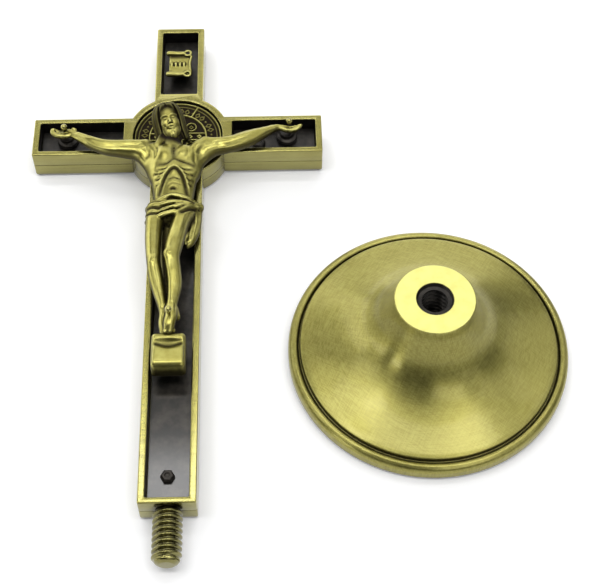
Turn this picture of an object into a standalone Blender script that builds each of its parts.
"""A small standing crucifix, unscrewed: the cross lies face up beside its flared foot.

Metres, Z up. The foot stands on the floor with its axis on Z. The cross is modelled in its own
frame (x across the arms, y towards the top, z out of its face) and then laid beside the foot.
"""

import math
from itertools import product

import bmesh
import bpy
import numpy as np
from mathutils import Matrix, Vector

MM = 0.001
GAP = 0.3

# The cross, in millimetres.
TOP_WIDTH = 14.6
ARM_WIDTH = 13.7
BEAM_WIDTH = 15.0
HALF_SPAN = 42.7
TOP_END = 42.8
BEAM_END = -118.5
ROUND_RADIUS = 15.25
THICKNESS = 9.9
PARTING = 5.05
RIM = 1.9
EDGE_ROUND = 1.3
MEDAL_RECESS = 13.2
FLOOR_TOP = 5.9
CROSS_YAW = math.radians(1.45)
CROSS_CENTRE = Vector((-71.3, 69.0, 0.0)) * MM

FRAME_LOW = PARTING + GAP / 2
PLATE_TOP = PARTING - GAP / 2
INLAY_LOW = PLATE_TOP + GAP

# The foot and its thread.
FOOT_RADIUS = 38.2
FOOT_HEIGHT = 27.7
BOSS_RADIUS = 10.7
GROOVE_RADIUS = 34.9
PAD_RADIUS = 32.5
PAD_HEIGHT = 0.9
PITCH = 1.6
STUD_MAJOR = 4.0
STUD_MINOR = 3.25
STUD_LENGTH = 14.6
SOCKET_MINOR = 3.45
SOCKET_MAJOR = 4.25
SOCKET_MOUTH = 5.0
SOCKET_DEPTH = 17.5
STUD_AXIS_Z = THICKNESS / 2
ROUND_SEGMENTS = 48

# The figure.
BODY_BACK = THICKNESS + GAP
HAND_BACK = 9.1
FIGURE_STEP = 1.3
NAIL_HOLE = 0.8
NAILS = {
    "hand_nail_left": (-33.2, 0.7, 13.5),
    "hand_nail_right": (33.0, 1.6, 13.5),
    "foot_nail": (-0.2, -67.4, 19.9),
}
RIVETS = {"rivet_left": (-24.0, -1.0), "rivet_right": (24.0, -1.0), "rivet_lower": (-0.2, -109.6)}

BRASS = (0.42, 0.36, 0.09)
DARK_METAL = (0.06, 0.05, 0.045)
FELT = (0.02, 0.02, 0.02)


def clear_scene():
    for item in list(bpy.data.objects):
        bpy.data.objects.remove(item, do_unlink=True)


def material(name, colour, roughness, metallic):
    made = bpy.data.materials.new(name)
    made.use_nodes = True
    shader = made.node_tree.nodes["Principled BSDF"]
    shader.inputs["Base Color"].default_value = (*colour, 1.0)
    shader.inputs["Roughness"].default_value = roughness
    shader.inputs["Metallic"].default_value = metallic
    return made


def place(name, mesh, parent, look=None):
    """Put a mesh in the scene; without a look it is a hidden cutter."""
    item = bpy.data.objects.new(name, mesh)
    bpy.context.scene.collection.objects.link(item)
    item.parent = parent
    if look:
        mesh.materials.append(material(f"{name}_material", *look))
    else:
        item.hide_render = True
        item.display_type = "WIRE"
    return item


def mesh_from(name, points, faces):
    """A mesh from points in millimetres, with its normals turned outwards."""
    mesh = bpy.data.meshes.new(name)
    mesh.from_pydata([Vector(point) * MM for point in points], [], faces)
    shape = bmesh.new()
    shape.from_mesh(mesh)
    bmesh.ops.remove_doubles(shape, verts=shape.verts, dist=1e-7)
    bmesh.ops.recalc_face_normals(shape, faces=shape.faces)
    shape.to_mesh(mesh)
    shape.free()
    return mesh


def arc(radius, start, end, steps, centre=(0.0, 0.0)):
    """Points on an arc, angles in degrees, both ends included."""
    angles = [math.radians(start + (end - start) * i / steps) for i in range(steps + 1)]
    return [(centre[0] + radius * math.cos(a), centre[1] + radius * math.sin(a)) for a in angles]


def prism(name, outline, low, high):
    """An upright solid between two heights, from an outline in the x-y plane."""
    count = len(outline)
    points = [(x, y, z) for z in (low, high) for x, y in outline]
    sides = [(i, (i + 1) % count, count + (i + 1) % count, count + i) for i in range(count)]
    ends = [tuple(range(count)), tuple(range(count, 2 * count))]
    return mesh_from(name, points, sides + ends)


def turned(name, profile, centre=(0.0, 0.0, 0.0), segments=24):
    """A solid of revolution about z; profile is (radius, z), from axis to axis."""
    rows = [[radius] * segments for radius, _ in profile]
    return lathe(name, rows, [z for _, z in profile], centre)


def lathe(name, rows, heights, centre=(0.0, 0.0, 0.0)):
    """A closed solid from rows of radii round z; the first and last rows are on the axis."""
    segments = len(rows[0])
    points = []
    for radii, z in zip(rows, heights):
        for i, radius in enumerate(radii):
            turn = 2 * math.pi * i / segments
            offset = (radius * math.cos(turn), radius * math.sin(turn), z)
            points.append([a + b for a, b in zip(centre, offset)])
    faces = []
    for row in range(len(rows) - 1):
        for i in range(segments):
            j = (i + 1) % segments
            low, high = row * segments, (row + 1) * segments
            faces.append((low + i, low + j, high + j, high + i))
    return mesh_from(name, points, faces)


def rounded_box(x0, x1, y0, y1, radius, steps=3):
    corners = (((x1, y1), 0), ((x0, y1), 90), ((x0, y0), 180), ((x1, y0), 270))
    outline = []
    for (x, y), start in corners:
        inset = (x - math.copysign(radius, x - (x0 + x1) / 2),
                 y - math.copysign(radius, y - (y0 + y1) / 2))
        outline += arc(radius, start, start + 90, steps, inset)
    return outline


def cut(item, cutters):
    for cutter in cutters:
        modifier = item.modifiers.new(f"cut_{cutter.name}", "BOOLEAN")
        modifier.operation = "DIFFERENCE"
        modifier.solver = "EXACT"
        modifier.object = cutter


def bevel(item, width, angle=50.0):
    modifier = item.modifiers.new("edges", "BEVEL")
    modifier.width = width * MM
    modifier.segments = 1
    modifier.limit_method = "ANGLE"
    modifier.angle_limit = math.radians(angle)


def hole(name, parent, centre, radius, low, high, sides=12):
    """A hidden upright cutter with a round outline."""
    outline = arc(radius, 0, 360 - 360 / sides, sides - 1, centre)
    return place(name, prism(name, outline, low, high), parent)


def cross_outline():
    """The cross with its round centre, seen from the front, anticlockwise."""
    beam, arm, top = BEAM_WIDTH / 2, ARM_WIDTH / 2, TOP_WIDTH / 2
    low = math.degrees(math.asin(beam / ROUND_RADIUS)) - 90
    side = math.degrees(math.asin(arm / ROUND_RADIUS))
    high = 90 - math.degrees(math.asin(top / ROUND_RADIUS))
    right = [(beam, BEAM_END)]
    right += arc(ROUND_RADIUS, low, -side, 5)
    right += [(HALF_SPAN, -arm), (HALF_SPAN, arm)]
    right += arc(ROUND_RADIUS, side, high, 5)
    right += [(top, TOP_END)]
    return right + [(-x, y) for x, y in reversed(right)]


def recess_boxes():
    """The four straight recesses as x0, x1, y0, y1."""
    inner = MEDAL_RECESS + 2.9
    arm = ARM_WIDTH / 2 - RIM + 0.2
    top = TOP_WIDTH / 2 - RIM
    beam = BEAM_WIDTH / 2 - RIM
    return {
        "top": (-top, top, inner, TOP_END - RIM),
        "left": (-HALF_SPAN + RIM, -inner, -arm, arm),
        "right": (inner, HALF_SPAN - RIM, -arm, arm),
        "lower": (-beam, beam, BEAM_END + RIM - 0.2, -inner),
    }


def build_frame(parent):
    """The front half of the cross: a raised rim round its recesses."""
    look = (BRASS, 0.38, 1.0)
    frame = place("cross_frame", prism("cross_frame", cross_outline(), FRAME_LOW, THICKNESS), parent, look)
    cutters = []
    for name, box in recess_boxes().items():
        outline = rounded_box(*box, 0.5)
        shape = prism(f"recess_{name}", outline, FRAME_LOW - 1, THICKNESS + 1)
        cutters.append(place(f"recess_{name}", shape, parent))
    cutters.append(hole("recess_medal", parent, (0, 0), MEDAL_RECESS, FRAME_LOW - 1, THICKNESS + 1, 48))
    cut(frame, cutters)
    bevel(frame, 0.25)
    return frame


def round_back_edge(item):
    """Round the lower rim of the back plate with weighted edges."""
    mesh = item.data
    weights = mesh.attributes.new("bevel_weight_edge", "FLOAT", "EDGE")
    for edge in mesh.edges:
        ends = [mesh.vertices[i].co.z for i in edge.vertices]
        weights.data[edge.index].value = 1.0 if max(ends) < 1e-6 else 0.0
    modifier = item.modifiers.new("back_edge", "BEVEL")
    modifier.width = EDGE_ROUND * MM
    modifier.segments = 3
    modifier.limit_method = "WEIGHT"


def build_back(parent, tang_slot):
    """The back half of the cross, with seats for the rivets and a slot for the stud's tang."""
    shape = prism("cross_back", cross_outline(), 0.0, PLATE_TOP)
    back = place("cross_back", shape, parent, (BRASS, 0.42, 1.0))
    round_back_edge(back)
    holes = [hole(f"{name}_seat", parent, at, 1.2, 1.5, PLATE_TOP + 1) for name, at in RIVETS.items()]
    cut(back, [tang_slot, *holes])
    return back


def build_inlays(parent):
    """Dark panels on the recess floors, drilled where a rivet passes."""
    for name, (x0, x1, y0, y1) in recess_boxes().items():
        outline = rounded_box(x0 + GAP, x1 - GAP, y0 + GAP, y1 - GAP, 0.4)
        panel_name = f"inlay_{name}"
        shape = prism(panel_name, outline, INLAY_LOW, FLOOR_TOP)
        panel = place(panel_name, shape, parent, (DARK_METAL, 0.5, 0.6))
        rivet = RIVETS.get(f"rivet_{name}")
        if rivet:
            cut(panel, [hole(f"{panel_name}_hole", parent, rivet, 1.2, INLAY_LOW - 1, FLOOR_TOP + 1)])


def build_rivets(parent):
    """A domed head over the inlay, and a shank down into the back plate."""
    head_low = FLOOR_TOP + GAP
    for name, (x, y) in RIVETS.items():
        profile = [(0, 1.8), (0.9, 1.8), (0.9, head_low), (1.9, head_low)]
        profile += [(1.9, head_low + 0.6), (1.3, head_low + 1.0), (0, head_low + 1.1)]
        segments = 6 if name == "rivet_lower" else 16
        place(name, turned(name, profile, (x, y, 0), segments), parent, (DARK_METAL, 0.45, 0.8))


def build_medal(parent):
    """Round medal with raised outer and inner rings."""
    rim = MEDAL_RECESS - GAP
    low, floor, ridge = INLAY_LOW, 7.9, 8.5
    profile = [(0, low), (rim, low), (rim, ridge), (rim - 1.0, ridge), (rim - 1.3, floor)]
    profile += [(9.1, floor), (8.9, ridge), (8.2, ridge), (8.0, floor), (0, floor)]
    place("medal_disc", turned("medal_disc", profile, segments=40), parent, (DARK_METAL, 0.5, 0.8))


def build_scroll(parent):
    """A small parchment: a plate with a roll at the top and another at the bottom."""
    roll, middle, height = 1.0, 28.2, 9.5
    half_width, half_length = 3.8, 4.2
    upper = arc(roll, 215, -35, 10, (half_length, height))
    lower = arc(roll, 215, -35, 10, (-half_length, height))
    shell = prism("scroll_plate", lower + upper, -half_width, half_width)
    turn = Matrix(((0, 0, 1, 0), (1, 0, 0, middle * MM), (0, 1, 0, 0), (0, 0, 0, 1)))
    shell.transform(turn)
    place("scroll_plate", shell, parent, (BRASS, 0.4, 1.0))
    low = FLOOR_TOP + GAP
    top = height - roll - GAP
    pin = [(0, low), (1.8, low), (1.8, low + 0.8), (1.1, low + 0.8), (1.1, top), (0, top)]
    place("scroll_pin", turned("scroll_pin", pin, (0, middle, 0)), parent, (DARK_METAL, 0.45, 0.8))


def capsule(p, a, b, ra, rb):
    """Distance to a rod from a to b whose radius goes from ra to rb."""
    a, b = np.array(a, float), np.array(b, float)
    along = b - a
    share = np.clip(((p - a) @ along) / (along @ along), 0.0, 1.0)
    nearest = a + share[..., None] * along
    return np.linalg.norm(p - nearest, axis=-1) - (ra + share * (rb - ra))


def ellipsoid(p, centre, radii, tilt=0.0):
    """Distance to an ellipsoid turned by tilt degrees about z."""
    turn = np.array(Matrix.Rotation(math.radians(tilt), 3, "Z"))
    local = (p - np.array(centre, float)) @ turn
    radii = np.array(radii, float)
    size = np.linalg.norm(local / radii, axis=-1)
    slope = np.linalg.norm(local / radii**2, axis=-1)
    return size * (size - 1.0) / np.maximum(slope, 1e-6)


def blend(first, second, width):
    """Smooth union of two distances."""
    share = np.clip(0.5 + 0.5 * (second - first) / width, 0.0, 1.0)
    return second + (first - second) * share - width * share * (1.0 - share)


def limb(p, points, radii, width=0.8):
    """Distance to a chain of rods."""
    field = None
    for a, b, ra, rb in zip(points, points[1:], radii, radii[1:]):
        piece = capsule(p, a, b, ra, rb)
        field = piece if field is None else blend(field, piece, width)
    return field


def figure_field(p):
    """The whole figure as one distance field, in the frame of the cross."""
    left_arm = limb(p, [(-7.6, -9.2, 13.6), (-20.6, -7.0, 13.2), (-29.2, -0.6, 11.9), (-33.6, 0.7, 11.0)],
                    [2.9, 2.2, 1.5, 1.7])
    right_arm = limb(p, [(6.4, -8.6, 13.6), (19.8, -5.4, 13.2), (28.6, 1.7, 11.9), (33.2, 1.5, 11.0)],
                     [2.9, 2.2, 1.5, 1.7])
    left_leg = limb(p, [(-3.5, -33.0, 14.0), (-4.7, -50.0, 17.0), (-2.0, -64.6, 16.2), (-0.9, -70.2, 16.6)],
                    [3.8, 2.7, 1.7, 1.6])
    right_leg = limb(p, [(3.8, -33.0, 14.0), (-0.9, -47.4, 18.0), (0.2, -64.6, 17.2), (-0.7, -69.6, 17.0)],
                     [3.8, 2.8, 1.8, 1.6])
    body = ellipsoid(p, (-0.9, -12.6, 13.2), (7.4, 6.6, 3.9))
    body = blend(body, limb(p, [(-0.6, -17, 13.0), (-0.3, -27, 13.2)], [4.8, 4.4]), 2.0)
    body = blend(body, ellipsoid(p, (0.2, -31.5, 13.6), (7.5, 5.8, 4.4)), 1.5)
    drape = limb(p, [(7.0, -29.5, 12.6), (6.4, -37.0, 12.6), (3.4, -42.0, 13.4)], [2.5, 2.5, 2.2])
    body = blend(body, drape, 1.5)
    for part, width in ((left_arm, 2.0), (right_arm, 2.0), (left_leg, 1.2), (right_leg, 1.2)):
        body = blend(body, part, width)
    body = blend(body, capsule(p, (-0.9, -7.0, 14.0), (-1.8, -2.0, 15.4), 2.4, 2.3), 1.2)
    head = ellipsoid(p, (-2.2, 0.0, 15.9), (3.9, 5.9, 4.3), 16.0)
    hair = ellipsoid(p, (-2.9, 1.2, 14.6), (5.2, 5.9, 4.0), 16.0)
    hair = blend(hair, capsule(p, (-6.4, 0.0, 13.6), (-6.2, -6.4, 13.4), 1.6, 1.4), 1.0)
    hair = blend(hair, capsule(p, (1.6, 0.0, 14.0), (3.2, -6.2, 14.0), 1.6, 1.4), 1.0)
    body = blend(body, blend(head, hair, 0.6), 0.8)
    reach = np.clip((np.abs(p[..., 0]) - 18.0) / 4.0, 0.0, 1.0)
    back = BODY_BACK + (HAND_BACK - BODY_BACK) * reach
    return np.maximum(body, back - p[..., 2])


def surface_net(field, origin, step):
    """Points and quads of the zero surface of a field on a regular grid."""
    shape = np.array(field.shape) - 1
    total = np.zeros((*shape, 3))
    count = np.zeros(shape)
    crossed = []
    for axis in range(3):
        near = np.take(field, range(shape[axis]), axis)
        far = np.take(field, range(1, shape[axis] + 1), axis)
        change = (near < 0) != (far < 0)
        crossed.append((change, near < 0))
        share = np.where(change, near / np.where(change, near - far, 1.0), 0.0)
        others = [i for i in range(3) if i != axis]
        for corner in product((0, 1), repeat=2):
            window = [slice(None)] * 3
            for other, offset in zip(others, corner):
                window[other] = slice(offset, offset + shape[other])
            hit = change[tuple(window)]
            count += hit
            for other, offset in zip(others, corner):
                total[..., other] += offset * hit
            total[..., axis] += share[tuple(window)]
    used = count > 0
    index = np.full(shape, -1)
    index[used] = np.arange(used.sum())
    points = (np.argwhere(used) + total[used] / count[used][:, None]) * step + origin
    quads = []
    for axis, (change, inside) in enumerate(crossed):
        u, v = [(axis + 1) % 3, (axis + 2) % 3]
        for at in np.argwhere(change):
            if at[u] == 0 or at[v] == 0 or at[u] >= shape[u] or at[v] >= shape[v]:
                continue
            ring = []
            for du, dv in ((0, 0), (-1, 0), (-1, -1), (0, -1)):
                cell = at.copy()
                cell[u] += du
                cell[v] += dv
                ring.append(int(index[tuple(cell)]))
            quads.append(ring if inside[tuple(at)] else ring[::-1])
    return points, quads


def build_corpus(parent):
    """The crucified figure, one casting, drilled for its three nails."""
    origin = np.array([-40.0, -76.0, 7.5])
    size = np.array([80.0, 88.0, 17.0])
    axes = [origin[i] + np.arange(0.0, size[i], FIGURE_STEP) for i in range(3)]
    grid = np.stack(np.meshgrid(*axes, indexing="ij"), axis=-1)
    points, quads = surface_net(figure_field(grid), origin, FIGURE_STEP)
    mesh = mesh_from("corpus", points.tolist(), quads)
    corpus = place("corpus", mesh, parent, (BRASS, 0.34, 1.0))
    drills = [hole(f"{name}_hole", parent, at, NAIL_HOLE, 5.0, 25.0) for name, at in NAILS.items()]
    cut(corpus, drills)


def build_nails(parent):
    """Ball-headed nails whose shanks fill the drilled holes."""
    for name, (x, y, z) in NAILS.items():
        ball = 0.95
        tip = HAND_BACK + 0.4 if name != "foot_nail" else 15.3
        profile = [(0, tip), (0.5, tip), (0.5, z - 0.4)]
        profile += [(ball, z - 0.3), (ball, z + 0.2), (0.6, z + 0.7), (0, z + 0.9)]
        place(name, turned(name, profile, (x, y, 0), 12), parent, (DARK_METAL, 0.4, 0.9))


def build_posts(parent):
    """Stepped posts that hold the casting clear of the recess floors."""
    low = FLOOR_TOP + GAP
    posts = {
        "hand_post_left": (-32.9, 1.2, 3.1, 2.0, HAND_BACK - GAP),
        "hand_post_right": (32.3, 1.4, 3.1, 2.0, HAND_BACK - GAP),
        "corpus_post": (0.0, -31.0, 3.0, 2.0, BODY_BACK - GAP),
        "footrest_post": (-0.4, -77.0, 3.0, 2.0, 9.5),
    }
    for name, (x, y, wide, narrow, top) in posts.items():
        profile = [(0, low), (wide, low), (wide, low + 1.2), (narrow, low + 1.5), (narrow, top), (0, top)]
        place(name, turned(name, profile, (x, y, 0)), parent, (DARK_METAL, 0.5, 0.8))


def build_footrest(parent):
    """The block under the feet: rounded, with a ledge at the toes and a shallow hollow below it."""
    low, high, near, far = 9.8, 15.4, -82.6, -71.6
    side = [(near, low + 1.2), (near + 1.2, low), (far, low), (far, high - 0.9), (far - 0.5, high - 0.5)]
    side += [(far - 2.2, high - 0.5), (far - 3.0, high - 1.2), (far - 4.0, high - 1.0)]
    side += [(far - 5.0, high - 0.1), (near + 2.0, high), (near + 0.6, high - 0.8), (near, high - 2.4)]
    mesh = prism("footrest", side, -4.6, 4.6)
    turn = Matrix(((0, 0, 1, -0.4 * MM), (1, 0, 0, 0), (0, 1, 0, 0), (0, 0, 0, 1)))
    mesh.transform(turn)
    block = place("footrest", mesh, parent, (BRASS, 0.36, 1.0))
    bevel(block, 0.7, 60.0)


def thread_rows(start, end, minor, major, rows_per_turn=4):
    """Radii and heights of a helical thread between two heights; it fades at both ends."""
    count = max(2, int(round(abs(end - start) / PITCH * rows_per_turn)))
    rows, heights = [], []
    for i in range(count + 1):
        z = start + (end - start) * i / count
        fade = min(1.0, 2.0 * i / rows_per_turn, 2.0 * (count - i) / rows_per_turn)
        radii = []
        for j in range(ROUND_SEGMENTS):
            phase = (z / PITCH - j / ROUND_SEGMENTS) % 1.0
            wave = 1.0 - abs(2.0 * phase - 1.0)
            radii.append(minor + (major - minor) * wave * fade)
        rows.append(radii)
        heights.append(z)
    return rows, heights


def build_stud(parent):
    """Threaded stud with a flat tang that runs into the back plate under a rivet."""
    start = BEAM_END - GAP
    threaded = STUD_LENGTH - GAP - 1.2
    rows, heights = thread_rows(0.6, 0.6 + threaded, STUD_MINOR, STUD_MAJOR)
    rows = [[0.0] * ROUND_SEGMENTS, [STUD_MINOR] * ROUND_SEGMENTS, *rows]
    heights = [0.0, 0.0, *heights]
    tip = STUD_LENGTH - GAP
    for radius, z in ((STUD_MINOR - 0.3, tip - 0.4), (STUD_MINOR - 1.0, tip), (0.0, tip)):
        rows.append([radius] * ROUND_SEGMENTS)
        heights.append(z)
    mesh = lathe("stud", rows, heights)
    turn = Matrix(((1, 0, 0, 0), (0, 0, -1, start * MM), (0, 1, 0, STUD_AXIS_Z * MM), (0, 0, 0, 1)))
    mesh.transform(turn)
    stud = place("stud", mesh, parent, (BRASS, 0.4, 1.0))
    tang_low, tang_high, half = 1.9, 4.4, 2.6
    tang_box = rounded_box(-half, half, start - 1.0, start + 13.0, 0.4)
    tang = place("stud_tang", prism("stud_tang", tang_box, tang_low, tang_high), parent)
    join = stud.modifiers.new("tang", "BOOLEAN")
    join.operation = "UNION"
    join.solver = "EXACT"
    join.object = tang
    cut(stud, [hole("tang_hole", parent, RIVETS["rivet_lower"], 1.2, tang_low - 1, tang_high + 1)])
    slot_box = rounded_box(-half - GAP, half + GAP, start - 3.0, start + 13.0 + GAP, 0.4)
    return place("tang_slot", prism("tang_slot", slot_box, tang_low - GAP, PLATE_TOP + 1), parent)


def flare_profile():
    """The foot from its boss to its rim, as (radius, z)."""
    neck = [(BOSS_RADIUS - 0.3, FOOT_HEIGHT), (BOSS_RADIUS, FOOT_HEIGHT - 0.3)]
    neck += [(11.3, 24.4), (12.5, 20.6), (14.4, 16.6), (17.2, 13.2), (20.8, 10.6)]
    skirt = [(25.0, 8.6), (29.6, 7.0), (33.4, 5.9), (34.5, 5.5), (GROOVE_RADIUS, 5.1)]
    rim = [(GROOVE_RADIUS + 0.1, 4.3), (GROOVE_RADIUS + 0.6, 4.3), (GROOVE_RADIUS + 1.0, 4.9)]
    rim += [(36.7, 5.0), (37.6, 4.5), (FOOT_RADIUS, 3.4), (FOOT_RADIUS, 0.8), (FOOT_RADIUS - 0.5, 0.3)]
    return neck + skirt + rim


def build_base():
    """The foot: one casting, threaded down its boss, with a shallow seat for its pad."""
    floor = FOOT_HEIGHT - SOCKET_DEPTH
    mouth = FOOT_HEIGHT - 1.2
    rows, heights = thread_rows(floor + 1.6, mouth, SOCKET_MINOR, SOCKET_MAJOR)
    rows = [[0.0] * ROUND_SEGMENTS, [SOCKET_MINOR] * ROUND_SEGMENTS, *rows]
    heights = [floor, floor, *heights]
    outer = [(SOCKET_MOUTH, FOOT_HEIGHT), *flare_profile()]
    outer += [(PAD_RADIUS + GAP, 0.3), (PAD_RADIUS + GAP, PAD_HEIGHT + GAP), (0.0, PAD_HEIGHT + GAP)]
    for radius, z in outer:
        rows.append([radius] * ROUND_SEGMENTS)
        heights.append(z)
    place("base_shell", lathe("base_shell", rows, heights), None, (BRASS, 0.4, 1.0))
    pad = [(0, 0), (PAD_RADIUS, 0), (PAD_RADIUS, PAD_HEIGHT), (0, PAD_HEIGHT)]
    place("base_pad", turned("base_pad", pad, segments=ROUND_SEGMENTS), None, (FELT, 0.95, 0.0))


def build_cross():
    """Everything that lies beside the foot, laid down by one empty."""
    anchor = bpy.data.objects.new("cross_anchor", None)
    bpy.context.scene.collection.objects.link(anchor)
    anchor.matrix_world = Matrix.Translation(CROSS_CENTRE) @ Matrix.Rotation(CROSS_YAW, 4, "Z")
    slot = build_stud(anchor)
    build_back(anchor, slot)
    build_frame(anchor)
    build_inlays(anchor)
    build_rivets(anchor)
    build_medal(anchor)
    build_scroll(anchor)
    build_posts(anchor)
    build_footrest(anchor)
    build_corpus(anchor)
    build_nails(anchor)


clear_scene()
build_base()
build_cross()
